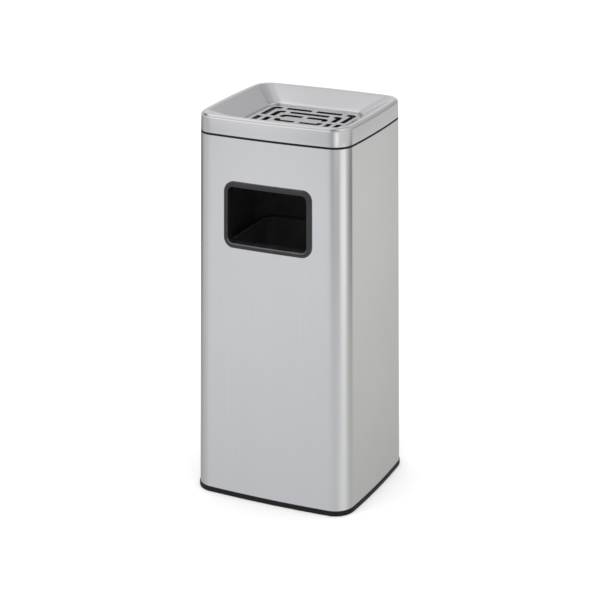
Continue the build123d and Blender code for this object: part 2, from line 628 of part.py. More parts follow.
rivet_inner_x = BUCKET_WIDTH / 2 - 2 * SHEET - BUCKET_TAPER * RIVET_DROP / BUCKET_RIM_Z
with BuildPart() as ear_rivets:
    for plane in rivet_planes:
        with BuildSketch(plane.offset(rivet_inner_x)):
            Circle(RIVET_RADIUS - FIT_CLEARANCE)
        extrude(amount=ear_plate_x - rivet_inner_x)
        with BuildSketch(plane.offset(ear_plate_x)):
            Circle(RIVET_HEAD_RADIUS)
        extrude(amount=RIVET_HEAD)
    fillet(ear_rivets.faces().group_by(Axis.X)[0].edges(), RIVET_ROUND)
    fillet(ear_rivets.faces().group_by(Axis.X)[-1].edges(), RIVET_ROUND)
ear_rivets.part.label = "ear_rivets"
export_step(ear_rivets.part, "parts/ear_rivets.step")

# ---- Bail ------------------------------------------------------------------------------------------------

bail_end_x = BAIL_HALF_WIDTH - BAIL_TONGUE
with BuildPart() as bail_wire:
    with BuildLine(Plane.XY.offset(BAIL_PIVOT_Z)) as bail_path:
        Polyline(
            (-bail_end_x, 0),
            (-BAIL_HALF_WIDTH, 0),
            (-BAIL_HALF_WIDTH, BAIL_REACH),
            (BAIL_HALF_WIDTH, BAIL_REACH),
            (BAIL_HALF_WIDTH, 0),
            (bail_end_x, 0),
        )
        fillet(bail_path.vertices().group_by(Axis.Y)[-1], BAIL_CORNER)
        pivot_bends = bail_path.vertices().group_by(Axis.Y)[0].sort_by(Axis.X)
        fillet([pivot_bends[0], pivot_bends[-1]], BAIL_PIVOT_BEND)
    bail_route = bail_path.wire()
    with BuildSketch(Plane(origin=bail_route @ 0, z_dir=bail_route % 0)):
        Circle(BAIL_RADIUS)
    sweep(path=bail_route)
bail_wire.part.label = "bail_wire"
export_step(bail_wire.part, "parts/bail_wire.step")

grip_axis = Axis((0, BAIL_REACH, BAIL_PIVOT_Z), (1, 0, 0))
grip_bore = BAIL_RADIUS + RUNNING_CLEARANCE
with BuildPart() as bail_grip:
    with BuildSketch(Plane.XY.offset(BAIL_PIVOT_Z)) as grip_profile:
        with Locations((0, BAIL_REACH + (GRIP_RADIUS + grip_bore) / 2)):
            Rectangle(GRIP_LENGTH, GRIP_RADIUS - grip_bore)
        fillet(grip_profile.vertices().group_by(Axis.Y)[-1], GRIP_ROUND)
        with Locations((0, BAIL_REACH + GRIP_RADIUS + GRIP_GROOVE_RADIUS - GRIP_GROOVE_DEPTH)):
            with GridLocations(GRIP_GROOVE_PITCH, 1, GRIP_GROOVES, 1):
                Circle(GRIP_GROOVE_RADIUS, mode=Mode.SUBTRACT)
    revolve(axis=grip_axis)
bail_grip.part.label = "bail_grip"
export_step(bail_grip.part, "parts/bail_grip.step")
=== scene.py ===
"""Litter bin with an ash tray lid: its visible skins and finishes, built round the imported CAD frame.

Metres, +Z up; the front, with the litter opening, faces -Y. Azimuths are in degrees from the front to +X.
"""

import json
import math

import bmesh
import bpy
import numpy as np
from mathutils import Matrix, Vector
from mathutils.geometry import intersect_sphere_sphere_2d

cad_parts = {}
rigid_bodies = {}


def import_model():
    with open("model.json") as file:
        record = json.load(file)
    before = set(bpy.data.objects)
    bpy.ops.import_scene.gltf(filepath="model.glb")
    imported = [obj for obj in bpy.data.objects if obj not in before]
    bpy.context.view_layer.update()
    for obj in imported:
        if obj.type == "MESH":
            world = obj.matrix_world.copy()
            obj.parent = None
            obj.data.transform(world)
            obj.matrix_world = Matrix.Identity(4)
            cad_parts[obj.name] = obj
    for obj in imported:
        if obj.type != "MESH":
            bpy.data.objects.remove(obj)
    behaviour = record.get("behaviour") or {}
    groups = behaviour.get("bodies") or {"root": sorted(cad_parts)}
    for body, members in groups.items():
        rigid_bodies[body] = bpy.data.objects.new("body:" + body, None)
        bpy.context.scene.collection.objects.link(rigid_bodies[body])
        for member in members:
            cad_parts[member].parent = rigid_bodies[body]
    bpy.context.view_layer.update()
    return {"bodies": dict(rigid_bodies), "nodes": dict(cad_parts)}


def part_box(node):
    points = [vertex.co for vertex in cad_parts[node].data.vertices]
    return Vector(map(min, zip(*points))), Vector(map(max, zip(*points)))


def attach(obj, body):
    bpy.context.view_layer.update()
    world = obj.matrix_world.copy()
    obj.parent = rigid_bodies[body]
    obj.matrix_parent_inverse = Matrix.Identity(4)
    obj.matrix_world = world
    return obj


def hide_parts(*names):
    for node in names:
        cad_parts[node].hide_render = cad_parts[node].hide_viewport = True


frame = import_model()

# ---- Sizes -----------------------------------------------------------------------------------------------

MM = 0.001
HALF_WIDTH = 141.7 * MM  # of the shell, at the middle of its crowned sides
HALF_DEPTH = 118.45 * MM
FACE_CROWN = 4.9 * MM
CORNER_RADIUS = 32.0 * MM
SHEET = 0.8 * MM
SEAM_HALF_WIDTH = 0.4 * MM
SEAM_DEPTH = 0.2 * MM

CREST_RADIUS = 6.0 * MM
SKIRT_DRAFT = 0.5 * MM  # how far the skirt leans in on its way up
TRAY_INSET = 9.2 * MM
TRAY_EDGE_RADIUS = 11.0 * MM
RECESS_DROP = 22.0 * MM  # from the lid's crest to the edge of the grate's recess
RECESS_RADIUS = 19.5 * MM
RECESS_ROUND = 2.0 * MM
GRATE_GAP = 1.2 * MM
GRATE_OVERSIZE = 1.1 * MM  # of the visible plate over the fitted one, so the gap reads as a hairline
LEDGE_WIDTH = 10.5 * MM
LEDGE_ROUND = 0.8 * MM
LEDGE_CLEARANCE = 0.03 * MM  # keeps the pan's lip and the ledge from sharing one plane

MOUTH_RADIUS = 9.0 * MM
BEZEL_FACE = 8.2 * MM
BEZEL_PROUD = 4.5 * MM
BEZEL_ROUND = 3.3 * MM
BEZEL_SILL_ROUND = 1.8 * MM  # the bead's inner edge; its upward faces take a paler copy of the plastic, a painted highlight
HIGHLIGHT_SLOPE = 0.1  # the least upward part of the normal of a face that takes the painted highlight
BEAD_GROOVE = (0.5 * MM, 0.35 * MM)  # half width and depth of the moulded line along the bead's middle
BEAD_GROOVE_SECTION = ((-1, 0), (-0.3, 1), (0.3, 1), (1, 0))  # in half widths and depths
BEZEL_TUBE = 2.2 * MM
BEZEL_EDGE = 0.5 * MM
SHELL_GAP = 0.2 * MM  # between the bezel's flange and the shell's cut edge

TRIM_SETBACK = 0.15 * MM
TRIM_LAP = 0.6 * MM  # how far the trim's cap comes down over the dressed edge of the shell
TRIM_THICKNESS = 2.2 * MM
TRIM_ROUND = 0.35 * MM

GRATE_THICKNESS = 1.2 * MM
GRATE_EDGE = 0.35 * MM
GRATE_RADIUS = RECESS_RADIUS - GRATE_GAP + GRATE_OVERSIZE
GRATE_DISH = 1.6 * MM
CUT_FACE_SLOPE = 0.5  # the most upward part of the normal of a slot's cut face
SLOT_WIDTH = 9.4 * MM
SLOT_PITCH = 17.75 * MM
SLOT_BRIDGE = 9.6 * MM
GRATE_DISH_RUN = 3 * SLOT_PITCH  # from the dish's edge to its flat middle
SLOT_OUTER_RADIUS = 9.0 * MM
SLOT_INNER_RADIUS = 2.0 * MM
SLOT_END_RADIUS = 1.2 * MM
OUTER_SLOT = (75.0 * MM, 51.0 * MM)  # half sizes of the outer ring of slots, on its centre line
SLOT_RINGS = 3
SHORTER_BAR = 2.0 * MM  # how much the second ring's bridges sit further out than the slots' pitch

SIDE_STEPS = 18  # from the middle of a side to its corner
CORNER_STEPS = 16
BEND_STEPS = 6
SMALL_BEND_STEPS = 3
CREST_STEPS = 10
TRAY_EDGE_STEPS = 8
TRAY_SLOPE_STEPS = 8
SLOT_BEND_STEPS = 4
SHELL_LEVELS = (12, 17, 4)  # rings below, beside and above the litter opening
WELD = 0.01 * MM

shell_low, shell_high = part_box("body_shell")
bezel_low, bezel_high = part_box("opening_bezel")
grate_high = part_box("ash_grate")[1]
lid_low, lid_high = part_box("lid_pressing")
trim_low, trim_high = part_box("rim_trim")
pan_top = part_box("ash_pan")[1].z
ledge_top = pan_top - SHEET - LEDGE_CLEARANCE
mouth_z = (bezel_low.z + bezel_high.z) / 2
mouth_half = (bezel_high.x - BEZEL_FACE, (bezel_high.z - bezel_low.z) / 2 - BEZEL_FACE)


# ---- Nodes -----------------------------------------------------------------------------------------------

# Outputs of Blender's nodes, by number.
DIRECTION, UV, OBJECT = 0, 2, 3  # texture coordinates
NORMAL = 1  # geometry
CAMERA_RAY, GLOSSY_RAY = 0, 3  # light path
CELL_COLOR = 1  # Voronoi texture
MIX_COLOR = 2
MIX_INPUTS = (0, 6, 7)  # the inputs of a colour mix: factor and two colours


class Nodes:
    """Short calls that add linked shader nodes to a tree and hand back their output."""

    def __init__(self, tree):
        self.tree = tree

    def add(self, kind, inputs=(), output=0, **settings):
        node = self.tree.nodes.new(kind)
        for key, value in settings.items():
            setattr(node, key, value)
        for key, value in dict(inputs).items():
            if isinstance(value, bpy.types.NodeSocket):
                self.tree.links.new(value, node.inputs[key])
            else:
                node.inputs[key].default_value = value
        return node.outputs[output]

    def math(self, operation, *values):
        return self.add("ShaderNodeMath", enumerate(values), operation=operation)

    def fit(self, value, low, high, smooth=False):
        """Value from low..high to 0..1, held at both ends."""
        kind = "SMOOTHSTEP" if smooth else "LINEAR"
        inputs = ((0, value), (1, low), (2, high))
        return self.add("ShaderNodeMapRange", inputs, interpolation_type=kind)

    def mix(self, factor, first, second, blend="MIX"):
        inputs = zip(MIX_INPUTS, (factor, first, second))
        return self.add("ShaderNodeMix", inputs, output=MIX_COLOR, data_type="RGBA", blend_type=blend)

    def stretch(self, vector, scale):
        return self.add("ShaderNodeMapping", (("Vector", vector), ("Scale", scale)))

    def noise(self, vector, scale=1.0, detail=2.0, roughness=0.5):
        inputs = (("Vector", vector), ("Scale", scale), ("Detail", detail), ("Roughness", roughness))
        return self.add("ShaderNodeTexNoise", inputs)

    def bump(self, height, strength, distance):
        inputs = (("Height", height), ("Strength", strength), ("Distance", distance))
        return self.add("ShaderNodeBump", inputs)

    def ramp(self, value, stops):
        node = self.tree.nodes.new("ShaderNodeValToRGB")
        node.color_ramp.interpolation = "EASE"
        elements = node.color_ramp.elements
        elements.remove(elements[-1])
        for index, (place, color) in enumerate(stops):
            element = elements[0] if index == 0 else elements.new(place)
            element.position = place
            element.color = color
        self.tree.links.new(value, node.inputs[0])
        return node.outputs[0]


def opaque(tone, gain=1.0):
    return (*[gain * channel for channel in tone], 1)


def grey(value):
    return (value, value, value, 1)


def new_material(name):
    """A material with its principled shader and its nodes."""
    material = bpy.data.materials.new(name)
    material.use_nodes = True
    nodes = Nodes(material.node_tree)
    return material, nodes, material.node_tree.nodes["Principled BSDF"]


def plug(nodes, shader, **inputs):
    for key, value in inputs.items():
        socket = shader.inputs[key.replace("_", " ").title().replace("Ior", "IOR")]
        if isinstance(value, bpy.types.NodeSocket):
            nodes.tree.links.new(value, socket)
        else:
            socket.default_value = value


# ---- Materials -------------------------------------------------------------------------------------------

GRAIN_CONTRAST = 0.03  # how much darker the hollows of the brushed grain are


def brushed_steel(name, tone, roughness, lines=(2600.0, 9.0), depth=1.0):
    """Stainless sheet brushed along v of its own uv map, with faint clouds and light handling marks."""
    material, nodes, shader = new_material(name)
    along = nodes.add("ShaderNodeTexCoord", output=UV)
    place = nodes.add("ShaderNodeTexCoord", output=OBJECT)
    fine = nodes.noise(nodes.stretch(along, (lines[0], lines[1], 1.0)), detail=3.0)
    broad = nodes.noise(nodes.stretch(along, (lines[0] / 12, lines[1] / 4, 1.0)), detail=2.0)
    clouds = nodes.noise(place, scale=7.0, detail=3.0)
    smudges = nodes.fit(nodes.noise(place, scale=24.0, detail=5.0, roughness=0.7), 0.56, 0.75)
    streaks = nodes.math("ADD", nodes.math("MULTIPLY", fine, 0.5), nodes.math("MULTIPLY", broad, 0.5))
    hollow = opaque(tone, 1 - GRAIN_CONTRAST * depth)
    light = nodes.mix(nodes.fit(streaks, 0.35, 0.65), hollow, opaque(tone))
    color = nodes.mix(nodes.fit(clouds, 0.35, 0.7), nodes.mix(0.035, light, grey(0.3)), light)
    rough = nodes.math("ADD", roughness - 0.03, nodes.math("MULTIPLY", streaks, 0.07 * depth))
    rough = nodes.math("ADD", rough, nodes.math("MULTIPLY", smudges, 0.03))
    plug(
        nodes,
        shader,
        base_color=color,
        metallic=1.0,
        roughness=rough,
        anisotropic=0.55,
        tangent=nodes.add("ShaderNodeTangent", direction_type="UV_MAP", uv_map="sheet"),
        normal=nodes.bump(streaks, 0.12 * depth, 0.02 * MM),
    )
    return material


def plain_metal(name, tone, roughness, spangle=0.0, tarnish=0.15, metallic=1.0):
    """Zinc or plain steel: patchy tone, uneven gloss and, if asked, the crystal pattern of hot zinc."""
    material, nodes, shader = new_material(name)
    place = nodes.add("ShaderNodeTexCoord", output=OBJECT)
    patches = nodes.fit(nodes.noise(place, scale=60.0, detail=4.0), 0.35, 0.7)
    specks = nodes.noise(place, scale=900.0, detail=2.0)
    color = nodes.mix(patches, opaque(tone), opaque(tone, 1 - tarnish))
    if spangle:
        inputs = (("Vector", place), ("Scale", 130.0))
        crystals = nodes.add("ShaderNodeTexVoronoi", inputs, output=CELL_COLOR)
        color = nodes.mix(spangle, color, nodes.mix(1.0, color, crystals, "SOFT_LIGHT"))
    rough = nodes.math("ADD", roughness, nodes.math("MULTIPLY", patches, 0.12))
    plug(
        nodes,
        shader,
        base_color=color,
        metallic=metallic,
        roughness=rough,
        normal=nodes.bump(specks, 0.15, 0.03 * MM),
    )
    return material


DUST_TONE = (0.38, 0.38, 0.37)


def moulded_plastic(name, tone, roughness, grain=1400.0, depth=0.25, shine=0.5):
    """Moulded plastic with a fine leathery grain, uneven gloss and a trace of dust on what faces up."""
    material, nodes, shader = new_material(name)
    place = nodes.add("ShaderNodeTexCoord", output=OBJECT)
    cells = nodes.noise(place, scale=grain, detail=2.0)
    patches = nodes.noise(place, scale=35.0, detail=4.0, roughness=0.6)
    facing = nodes.add("ShaderNodeNewGeometry", output=NORMAL)
    upward = nodes.add("ShaderNodeSeparateXYZ", ((0, facing),), output=2)
    dust = nodes.math("MULTIPLY", nodes.fit(upward, 0.4, 1.0), nodes.fit(patches, 0.35, 0.75))
    color = nodes.mix(nodes.fit(patches, 0.3, 0.7), opaque(tone), opaque(tone, 1.25))
    color = nodes.mix(nodes.math("MULTIPLY", dust, 0.05), color, opaque(DUST_TONE))
    rough = nodes.math("ADD", roughness, nodes.math("MULTIPLY", patches, 0.12))
    plug(
        nodes,
        shader,
        base_color=color,
        roughness=rough,
        specular_ior_level=shine,
        normal=nodes.bump(cells, depth, 0.05 * MM),
    )
    return material


def painted_steel(name, tone, roughness, peel=260.0, coat=0.3):
    """Baked enamel or powder coat: orange peel, gloss patches and a paler bloom."""
    material, nodes, shader = new_material(name)
    place = nodes.add("ShaderNodeTexCoord", output=OBJECT)
    ripple = nodes.noise(place, scale=peel, detail=1.0)
    bloom = nodes.noise(place, scale=18.0, detail=4.0)
    color = nodes.mix(nodes.fit(bloom, 0.4, 0.75), opaque(tone), opaque([c * 1.5 + 0.002 for c in tone]))
    rough = nodes.math("ADD", roughness, nodes.math("MULTIPLY", bloom, 0.15))
    plug(
        nodes,
        shader,
        base_color=color,
        roughness=rough,
        coat_weight=coat,
        coat_roughness=0.2,
        normal=nodes.bump(ripple, 0.25, 0.08 * MM),
    )
    return material


STEEL_TONE = (0.835, 0.837, 0.843)
materials = {
    "brushed_stainless": brushed_steel("brushed_stainless", STEEL_TONE, 0.18),
    "lid_stainless": brushed_steel("lid_stainless", STEEL_TONE, 0.13, lines=(1500.0, 14.0), depth=0.6),
    "grate_stainless": plain_metal("grate_stainless", (0.65, 0.65, 0.66), 0.2, tarnish=0.06),
    # near black, for the slots' cut faces: painted shade inside the slots
    "slot_shade_steel": plain_metal("slot_shade_steel", (0.07, 0.07, 0.07), 0.5),
    "mill_stainless": plain_metal("mill_stainless", (0.1, 0.103, 0.1), 0.8, metallic=0.0),
    "plain_steel": plain_metal("plain_steel", (0.55, 0.55, 0.56), 0.35),
    "zinc_steel": plain_metal("zinc_steel", (0.56, 0.58, 0.60), 0.36, spangle=0.35),
    "zinc_fastener": plain_metal("zinc_fastener", (0.66, 0.67, 0.69), 0.27),
    "spring_steel": plain_metal("spring_steel", (0.36, 0.37, 0.40), 0.3),
    "bail_zinc": plain_metal("bail_zinc", (0.62, 0.63, 0.65), 0.25),
    "black_trim": moulded_plastic("black_trim", (0.008, 0.008, 0.009), 0.5, shine=0.22),
    "black_base": moulded_plastic("black_base", (0.007, 0.007, 0.008), 0.4, grain=1100.0, shine=0.22),
    "pad_rubber": moulded_plastic("pad_rubber", (0.02, 0.02, 0.02), 0.7, grain=900.0, depth=0.5),
    "bezel_plastic": moulded_plastic("bezel_plastic", (0.020, 0.020, 0.024), 0.32),
    # a darker, duller copy of the bezel's plastic for the flange inside the opening: painted shade
    "shaded_flange_plastic": moulded_plastic("shaded_flange_plastic", (0.009, 0.009, 0.011), 0.6, shine=0.12),
    # a paler, glossier copy of the bezel's plastic: a painted highlight along the sill's upward faces
    "sill_highlight_plastic": moulded_plastic("sill_highlight_plastic", (0.085, 0.085, 0.092), 0.2, depth=0.1),
    "frame_plastic": moulded_plastic("frame_plastic", (0.02, 0.02, 0.022), 0.45),
    "grip_plastic": moulded_plastic("grip_plastic", (0.03, 0.03, 0.032), 0.4),
    "black_enamel": painted_steel("black_enamel", (0.006, 0.006, 0.007), 0.3, coat=0.5),
    "bucket_paint": painted_steel("bucket_paint", (0.105, 0.108, 0.106), 0.45),
}


# ---- Plan outlines ---------------------------------------------------------------------------------------


def mirrored(quadrant):
    """A closed loop from its first quadrant: rows of point and normal, from the +X side to the +Y side."""
    second = quadrant[::-1] * (-1, 1, -1, 1)
    upper = np.vstack([quadrant, second[1:]])
    lower = upper[::-1] * (1, -1, 1, -1)
    loop = np.vstack([upper, lower[1:-1]])
    return loop[:, :2], loop[:, 2:]


def arc(centre, radius, angles):
    """Rows of point and outward normal along an arc."""
    normals = np.column_stack([np.cos(angles), np.sin(angles)])
    return np.hstack([np.array(centre) + radius * normals, normals])


side_radius, front_radius = [
    ((span - FACE_CROWN) ** 2 + FACE_CROWN**2) / (2 * FACE_CROWN) for span in (HALF_DEPTH, HALF_WIDTH)
]
side_centre = (HALF_WIDTH - side_radius, 0.0)
back_centre = (0.0, HALF_DEPTH - front_radius)


def crowned_outline():
    """The shell's plan: four shallow arcs joined by rounded corners."""
    meeting = intersect_sphere_sphere_2d(
        back_centre, front_radius - CORNER_RADIUS, side_centre, side_radius - CORNER_RADIUS
    )
    corner = max(meeting, key=lambda point: point.x + point.y)
    side_end = math.atan2(corner.y, corner.x - side_centre[0])
    back_start = math.atan2(corner.y - back_centre[1], corner.x)
    return mirrored(
        np.vstack(
            [
                arc(side_centre, side_radius, np.linspace(0, side_end, SIDE_STEPS, endpoint=False)),
                arc(corner, CORNER_RADIUS, np.linspace(side_end, back_start, CORNER_STEPS, endpoint=False)),
                arc(back_centre, front_radius, np.linspace(back_start, math.pi / 2, SIDE_STEPS + 1)),
            ]
        )
    )


def rounded_rectangle(half_width, half_depth, radius):
    """A rectangle's outline with rounded corners, with as many points as the crowned outline."""
    straight = np.linspace(0, 1, SIDE_STEPS + 1)
    inner = (half_width - radius, half_depth - radius)
    side = np.column_stack([np.full(SIDE_STEPS, half_width), straight[:-1] * inner[1]])
    back = np.column_stack([straight[::-1] * inner[0], np.full(SIDE_STEPS + 1, half_depth)])
    turn = arc(inner, radius, np.linspace(0, math.pi / 2, CORNER_STEPS, endpoint=False))
    return mirrored(
        np.vstack(
            [
                np.hstack([side, np.tile((1.0, 0.0), (len(side), 1))]),
                turn,
                np.hstack([back, np.tile((0.0, 1.0), (len(back), 1))]),
            ]
        )
    )


def level(outline, inset, z):
    """The outline moved inward and laid at a height."""
    points, normals = outline
    return np.column_stack([points - inset * normals, np.full(len(points), z)])


def unit(vectors):
    return vectors / np.linalg.norm(vectors, axis=-1, keepdims=True)


def bend(corner, before, after, radius, steps=BEND_STEPS):
    """Rings round the bend at a ring of corners; before and after run along the two surfaces from it."""
    before, after = np.broadcast_to(before, corner.shape), np.broadcast_to(after, corner.shape)
    half_angle = np.arccos(np.sum(before * after, axis=1, keepdims=True)) / 2
    centre = corner + unit(before + after) * radius / np.sin(half_angle)
    start = corner + before * radius / np.tan(half_angle) - centre
    end = corner + after * radius / np.tan(half_angle) - centre
    sweep = math.pi - 2 * half_angle
    return [
        centre + (np.sin((1 - t) * sweep) * start + np.sin(t * sweep) * end) / np.sin(sweep)
        for t in np.linspace(0, 1, steps + 1)
    ]


# ---- Mesh building ---------------------------------------------------------------------------------------

UP = np.array((0.0, 0.0, 1.0))
SHARP = math.radians(35)


def finished(name, mesh, finishes, body, stands_for=None):
    """Puts a mesh in the scene as a smooth-shaded piece that rides on a body."""
    mesh.validate()
    mesh.shade_smooth()
    mesh.set_sharp_from_angle(angle=SHARP)
    piece = bpy.data.objects.new(name, mesh)
    bpy.context.scene.collection.objects.link(piece)
    faces = [polygon.material_index for polygon in mesh.polygons]
    mesh.materials.clear()
    for finish in finishes:
        mesh.materials.append(materials[finish])
    mesh.polygons.foreach_set("material_index", [min(face, len(finishes) - 1) for face in faces])
    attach(piece, body)
    if stands_for:
        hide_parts(stands_for)
    return piece


def face_outward(mesh):
    work = bmesh.new()
    work.from_mesh(mesh)
    bmesh.ops.recalc_face_normals(work, faces=work.faces)
    work.to_mesh(mesh)
    work.free()


def ring_mesh(name, rings, closed=False):
    """Quads between equal rings, with a uv map in metres: u round the ring, v from ring to ring."""
    count = len(rings[0])
    total = len(rings)
    spans = total if closed else total - 1
    faces = []
    for k in range(spans):
        low, high = k * count, (k + 1) % total * count
        for i in range(count):
            j = (i + 1) % count
            faces.append((low + i, low + j, high + j, high + i))
    mesh = bpy.data.meshes.new(name)
    mesh.from_pydata(np.concatenate(rings).tolist(), [], faces)
    first = rings[0]
    around = np.append(0, np.cumsum(np.linalg.norm(np.roll(first, -1, axis=0) - first, axis=1)))
    steps = [np.linalg.norm(rings[(k + 1) % total] - rings[k], axis=1).mean() for k in range(spans)]
    along = np.append(0, np.cumsum(steps))
    layer = mesh.uv_layers.new(name="sheet")
    uv = [
        (around[i + side], along[k + up])
        for k in range(spans)
        for i in range(count)
        for side, up in ((0, 0), (1, 0), (1, 1), (0, 1))
    ]
    layer.data.foreach_set("uv", np.array(uv).ravel())
    return mesh


def thickened(mesh, thickness):
    """The mesh with a second skin behind it and its edges closed; the back takes the next material."""
    for _ in ("front", "back"):
        mesh.materials.append(None)
    holder = bpy.data.objects.new("holder", mesh)
    bpy.context.scene.collection.objects.link(holder)
    solid = holder.modifiers.new("sheet", "SOLIDIFY")
    solid.thickness = thickness
    solid.offset = -1
    solid.use_even_offset = True
    solid.material_offset = 1
    evaluated = holder.evaluated_get(bpy.context.evaluated_depsgraph_get())
    result = bpy.data.meshes.new_from_object(evaluated)
    result.name = mesh.name
    bpy.data.objects.remove(holder)
    return result


def crowned_y(x, proud=0.0):
    """Where the shell's front face is at x, moved outward by proud."""
    return -back_centre[1] - np.sqrt((front_radius + proud) ** 2 - np.square(x))


# ---- Body ------------------------------------------------------------------------------------------------

plan = crowned_outline()
mouth = rounded_rectangle(*mouth_half, MOUTH_RADIUS)


def shell_outline():
    """The crowned outline with the welded seam's groove at the middle of the back."""
    points, normals = plan
    middle = int(np.argmax(points[:, 1]))
    groove = [(2, 0), (1, 0), (1, 1), (-1, 1), (-1, 0), (-2, 0)]
    top = points[middle]
    inserted = [(side * SEAM_HALF_WIDTH, top[1] - down * SEAM_DEPTH) for side, down in groove]
    points = np.vstack([points[:middle], inserted, points[middle + 1 :]])
    repeated = np.tile(normals[middle], (len(groove), 1))
    normals = np.vstack([normals[:middle], repeated, normals[middle + 1 :]])
    return points, normals


def body_skin():
    """The shell: a grid round the plan, cut by the litter opening, then thickened."""
    outline = shell_outline()
    cut = (mouth_half[0] + BEZEL_TUBE + SHELL_GAP, mouth_half[1] + BEZEL_TUBE + SHELL_GAP)
    columns = outline[0][:, 0]
    front = outline[0][:, 1] < 0
    frame_x = columns[front & (columns > cut[0])].min()
    frame_z = cut[1] + (frame_x - cut[0])
    heights = (shell_low.z, mouth_z - frame_z, mouth_z + frame_z, shell_high.z - TRIM_LAP)
    spans = zip(heights[:-1], heights[1:], SHELL_LEVELS)
    below, beside, above = (np.linspace(low, high, count) for low, high, count in spans)
    levels = np.concatenate([below, beside[1:-1], above])
    mesh = ring_mesh("body_skin", [level(outline, 0, z) for z in levels])
    work = bmesh.new()
    work.from_mesh(mesh)

    def inside(vertex, margin):
        return (
            vertex.co.y < 0
            and abs(vertex.co.x) < frame_x + margin
            and abs(vertex.co.z - mouth_z) < frame_z + margin
            and abs(vertex.co.y - crowned_y(vertex.co.x)) < MM
        )

    gone = [face for face in work.faces if all(inside(v, WELD) for v in face.verts)]
    bmesh.ops.delete(work, geom=gone, context="FACES")
    rim = [edge for edge in work.edges if edge.is_boundary and all(inside(v, WELD) for v in edge.verts)]
    sheet = work.loops.layers.uv.active
    copies = {}
    for vertex in {v for edge in rim for v in edge.verts}:
        x, z = nearest_on_cut(vertex.co.x, vertex.co.z - mouth_z, cut)
        copies[vertex] = work.verts.new((x, crowned_y(x), z + mouth_z))
    for edge in rim:
        first, second = edge.link_loops[0].vert, edge.link_loops[0].link_loop_next.vert
        face = work.faces.new((second, first, copies[first], copies[second]))
        for loop in face.loops:
            loop[sheet].uv = (loop.vert.co.x, loop.vert.co.z)
    work.to_mesh(mesh)
    work.free()
    face_outward(mesh)
    finishes = ["brushed_stainless", "mill_stainless"]
    return finished("body_skin", thickened(mesh, SHEET), finishes, "body", "body_shell")


def nearest_on_cut(x, z, cut):
    """The point of the opening's rounded cut edge on the ray from its middle to x, z."""
    radius = MOUTH_RADIUS + BEZEL_TUBE + SHELL_GAP
    inner = Vector((cut[0] - radius, cut[1] - radius))
    ray = Vector((abs(x), abs(z)))
    scale = min(cut[0] / max(ray.x, MM), cut[1] / max(ray.y, MM))
    point = ray * scale
    if point.x > inner.x and point.y > inner.y:
        direction = ray.normalized()
        along = direction.dot(inner)
        miss = inner.length_squared - along**2
        point = direction * (along + math.sqrt(max(radius**2 - miss, 0)))
    return math.copysign(point.x, x), math.copysign(point.y, z)


def rounded_section(corners, radius):
    """A closed section's points with every corner rounded."""
    corners = np.array(corners, float)
    points = []
    for index, corner in enumerate(corners):
        before = unit(corners[index - 1] - corner)
        after = unit(corners[(index + 1) % len(corners)] - corner)
        rings = bend(corner[None], before[None], after[None], radius, SMALL_BEND_STEPS)
        points += [ring[0] for ring in rings]
    return points


def trim_ring():
    """The black trim between shell and lid: a cap on the shell's edge and a leg behind it."""
    cap_bottom = shell_high.z - TRIM_LAP
    back = SHEET + TRIM_THICKNESS
    section = [
        (TRIM_SETBACK, cap_bottom),
        (TRIM_SETBACK, trim_high.z),
        (back, trim_high.z),
        (back, trim_low.z),
        (SHEET, trim_low.z),
        (SHEET, cap_bottom),
    ]
    rings = [level(plan, inset, z) for inset, z in rounded_section(section, TRIM_ROUND)]
    mesh = ring_mesh("rim_trim_ring", rings, closed=True)
    face_outward(mesh)
    return finished("rim_trim_ring", mesh, ["black_trim"], "body", "rim_trim")


def bezel_ring():
    """The opening's moulded surround: a rounded bead on the crowned face and a flange that runs inside."""
    points, normals = mouth
    half_width, depth = BEAD_GROOVE

    def station(out, proud):
        x, z = (points + out * normals).T
        return np.column_stack([x, crowned_y(x, proud), z + mouth_z])

    def flange(out, y):
        x, z = (points + out * normals).T
        return np.column_stack([x, np.full(len(x), y), z + mouth_z])

    def quarter(radius, middle, start):
        for angle in np.linspace(start, start - math.pi / 2, BEND_STEPS + 1):
            yield station(middle + radius * math.cos(angle), BEZEL_PROUD - radius * (1 - math.sin(angle)))

    rings = [flange(BEZEL_EDGE, bezel_high.y), flange(0, bezel_high.y - BEZEL_EDGE)]
    rings += quarter(BEZEL_SILL_ROUND, BEZEL_SILL_ROUND, math.pi)
    groove = (BEZEL_SILL_ROUND + BEZEL_FACE - BEZEL_ROUND) / 2
    for side, down in BEAD_GROOVE_SECTION:
        rings.append(station(groove + side * half_width, BEZEL_PROUD - down * depth))
    rings += quarter(BEZEL_ROUND, BEZEL_FACE - BEZEL_ROUND, math.pi / 2)
    rings += [station(BEZEL_FACE, 0), station(BEZEL_TUBE, 0)]
    rings += [flange(BEZEL_TUBE, bezel_high.y - BEZEL_EDGE), flange(BEZEL_TUBE - BEZEL_EDGE, bezel_high.y)]
    mesh = ring_mesh("opening_surround", rings, closed=True)
    face_outward(mesh)
    finishes = ["bezel_plastic", "shaded_flange_plastic", "sill_highlight_plastic"]
    flange_faces = 2 * len(points)
    sill_faces = BEND_STEPS * len(points)
    # the flange inside the opening takes the darker copy of the plastic: painted shade
    for index, polygon in enumerate(mesh.polygons[: flange_faces + sill_faces]):
        if index < flange_faces:
            polygon.material_index = finishes.index("shaded_flange_plastic")
        # the sill's upward faces take the paler copy of the plastic: a painted highlight
        elif polygon.normal.z > HIGHLIGHT_SLOPE:
            polygon.material_index = finishes.index("sill_highlight_plastic")
    return finished("opening_surround", mesh, finishes, "body", "opening_bezel")


# ---- Lid -------------------------------------------------------------------------------------------------

recess = rounded_rectangle(grate_high.x + GRATE_GAP, grate_high.y + GRATE_GAP, RECESS_RADIUS)


